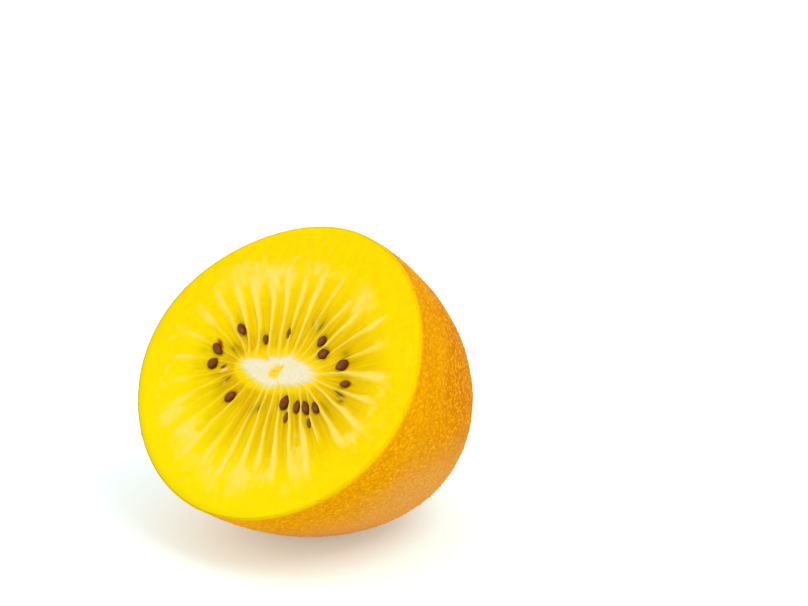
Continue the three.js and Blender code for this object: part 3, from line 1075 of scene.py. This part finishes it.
def seed_mesh(name, angle, at, lean, length, width, sink):
    """An egg shape whose pointed end looks at the core, with a faint ridge and a dimpled coat."""
    middle, heading = seed_place(angle, at, lean)
    along = np.linspace(0, math.pi, SEED_ROWS + 2)[1:-1]
    turn, along = np.meshgrid(full_turn(SEED_COLUMNS), along)
    x = np.cos(along)
    slim = 1 - SEED_TAPER * smooth(-x, 0, 1)
    around = np.sin(along) * slim * (1 + SEED_RIDGE * np.abs(np.cos(turn)) ** 6)
    scale = np.array([length / 2, width / 2, width * SEED_THICKNESS / 2])
    egg = np.stack([x, around * np.cos(turn), around * np.sin(turn)], -1) * scale
    dimples = SEED_DIMPLES * space_noise(egg + angle, 0.45, 41)
    blunt_end, pointed_end = np.array([[1.0, 0, 0], [-1.0, 0, 0]]) * scale

    def placed(points):
        px, py = rotated(points[..., 0], points[..., 1], heading)
        base = -SEED_BASE - sink
        return at_rest(np.stack([px + middle[0], py + middle[1], points[..., 2] + base], -1))

    # Darker where the seed dips into the flesh: partly the coat's own edge, partly painted shade.
    shaded_flank = smooth(np.hypot(x, around * np.cos(turn)), 0.5, 0.95)
    veil = np.full_like(shaded_flank, SEED_VEIL * smooth(np.array(sink), 0.12, 0.26))
    rings = placed(egg * (1 + dimples)[..., None])
    values = [("shaded_flank", shaded_flank), ("veil", veil)]
    return ringed_mesh(name, placed(blunt_end), rings, placed(pointed_end), values)


def make_seeds():
    """The seeds that stand bared in the cut."""
    meshes = [seed_mesh(f"seed_{n}", *row) for n, row in enumerate(SEEDS)]
    seeds = piece("seeds", joined(meshes, "seeds"), seed_paint())


def tube_mesh(name, path, radii, sides):
    """A closed tube along a path of points, with its own radius at each."""
    heading = np.gradient(path, axis=0)
    heading /= np.linalg.norm(heading, axis=-1, keepdims=True)
    aside = np.cross(heading, np.array([0.31, 0.93, 0.2]))  # a line that no style runs along
    aside /= np.linalg.norm(aside, axis=-1, keepdims=True)
    rounds = circles(sides, aside, np.cross(heading, aside))
    rings = path[:, None] + rounds * radii[:, None, None]
    return ringed_mesh(name, at_rest(path[0]), at_rest(rings), at_rest(path[-1]))


def scar_mesh():
    """The lobed, crumpled ring that the sepals left."""
    turns, sections = np.meshgrid(full_turn(SCAR_STEPS), full_turn(SCAR_SIDES), indexing="ij")
    lobes = 1 + 0.1 * np.cos(SEPALS * turns) + 0.04 * np.cos(3 * turns + 1)
    radius = SCAR_RADIUS * lobes + SCAR_HALF_WIDTH * np.cos(sections)
    rise = SCAR_RISE * (1 + 0.3 * np.cos(SEPALS * turns)) * np.sin(sections)
    height = -HALF_LENGTH + TIP_SAG * (radius / SCAR_RADIUS) ** 2 - rise
    points = np.stack([radius * np.cos(turns), radius * np.sin(turns), height], -1)
    points[..., 2] -= 0.1 * space_noise(points, 0.7, 51) + 0.05 * space_noise(points, 0.3, 52)
    count, columns = points.shape[:2]
    ring, column = np.meshgrid(np.arange(count), np.arange(columns), indexing="ij")
    here, further = ring * columns, (ring + 1) % count * columns
    beside = (column + 1) % columns
    quads = np.stack([here + column, here + beside, further + beside, further + column], -1)
    mesh = bpy.data.meshes.new("scars")
    fill_mesh(mesh, at_rest(points).reshape(-1, 3), quads.reshape(-1, 4), np.zeros((0, 3), int))
    return mesh


def style_meshes():
    """The withered styles inside the ring, bent outwards and down."""
    draw = np.random.default_rng(53)
    share = np.linspace(0, 1, STYLE_STEPS)
    meshes = []
    for n in range(STYLES):
        spot = STYLE_CIRCLE * math.sqrt((n + 0.5) / STYLES)
        way = n * math.radians(GOLDEN_ANGLE)
        length = 1.0 + 0.9 * draw.uniform()
        lean = 0.5 + 0.5 * draw.uniform()
        bend = way + (draw.uniform() - 0.5) * 1.8 * share
        out = spot + lean * share**1.6
        down = -HALF_LENGTH + 0.6 - (length + 0.3) * np.sin(share * (1.2 + 0.5 * draw.uniform()))
        path = np.stack([out * np.cos(bend), out * np.sin(bend), down], -1)
        radii = STYLE_RADIUS - STYLE_TAPER * share
        meshes.append(tube_mesh(f"style_{n}", path, radii, STYLE_SIDES))
    return meshes


def make_flower_end():
    """The dried remains of the flower at the far tip: a ring of sepal scars round old styles."""
    meshes = [scar_mesh(), *style_meshes()]
    flower_end = piece("flower_end", joined(meshes, "flower_end"), flower_paint())


# ---- camera, floor and light


def view_axes():
    """The camera's right, up and forward, in the row frame."""
    turn, rise = math.radians(CAMERA_AZIMUTH), math.radians(CAMERA_ELEVATION)
    right = np.array([math.cos(turn), math.sin(turn), 0.0])
    ahead = np.array([-math.sin(turn), math.cos(turn), 0.0])
    up = ahead * math.sin(rise) + np.array([0, 0, math.cos(rise)])
    return right, up, ahead * math.cos(rise) - np.array([0, 0, math.sin(rise)])


def stand(name, data, right, up, back, place):
    """A camera or a light at a place in metres, with its own axes."""
    obj = bpy.data.objects.new(name, data)
    rows = np.stack([right, up, back, place], 1)
    obj.matrix_world = Matrix([*rows.tolist(), [0, 0, 0, 1]])
    bpy.context.scene.collection.objects.link(obj)
    return obj


def make_camera():
    """The photo's camera."""
    right, up, forward = view_axes()
    place = OFFSET - FACE_ASIDE * right - FACE_ABOVE * up - CAMERA_DISTANCE * forward
    data = bpy.data.cameras.new("camera")
    data.sensor_width = SENSOR_WIDTH
    data.lens = FOCAL_PIXELS / IMAGE_WIDTH * SENSOR_WIDTH
    data.clip_start = 0.01
    data.clip_end = 50
    bpy.context.scene.camera = stand("camera", data, right, up, -forward, place / METRE)


def make_floor():
    """A plain pale floor, which glows a little as the photo's does."""
    half = FLOOR_HALF_SIZE
    mesh = bpy.data.meshes.new("floor")
    corners = [(-half, -half, 0), (half, -half, 0), (half, half, 0), (-half, half, 0)]
    mesh.from_pydata(corners, [], [(0, 1, 2, 3)])
    glow = {"Emission Color": FLOOR_GLOW, "Emission Strength": FLOOR_GLOW_STRENGTH}
    paint = Paint("floor", Specular_IOR_Level=0.1, Roughness=0.8, **glow)
    tone = paint.mix(paint.noise(40.0, 2.0), linear(228, 245, 245), linear(233, 248, 249))
    paint.plug(paint.shader.inputs["Base Color"], tone)
    floor = bpy.data.objects.new("floor", mesh)
    floor.data.materials.append(paint.material)
    bpy.context.scene.collection.objects.link(floor)


def make_light(name, place, size, power):
    """A square soft light that looks at the fruit."""
    data = bpy.data.lights.new(name, "AREA")
    data.size = size
    data.energy = power
    back = place / np.linalg.norm(place)
    side = np.cross([0.0, 0.0, 1.0], back)
    side /= np.linalg.norm(side)
    stand(name, data, side, np.cross(back, side), back, place)


def make_light_and_world():
    """Even white light from all round, and the soft lights."""
    world = bpy.data.worlds.new("studio")
    world.use_nodes = True
    background = world.node_tree.nodes["Background"]
    background.inputs["Color"].default_value = (1, 1, 1, 1)
    background.inputs["Strength"].default_value = WORLD_STRENGTH
    bpy.context.scene.world = world
    right, _, forward = view_axes()
    for name, aside, nearer, height, size, power in LIGHTS:
        place = right * aside - forward * nearer + np.array([0, 0, height])
        make_light(name, place, size, power)
    bpy.context.scene.view_settings.view_transform = "Standard"


make_camera()
make_floor()
make_light_and_world()
make_flesh()
make_skin()
make_lenticels()
make_seeds()
make_flower_end()
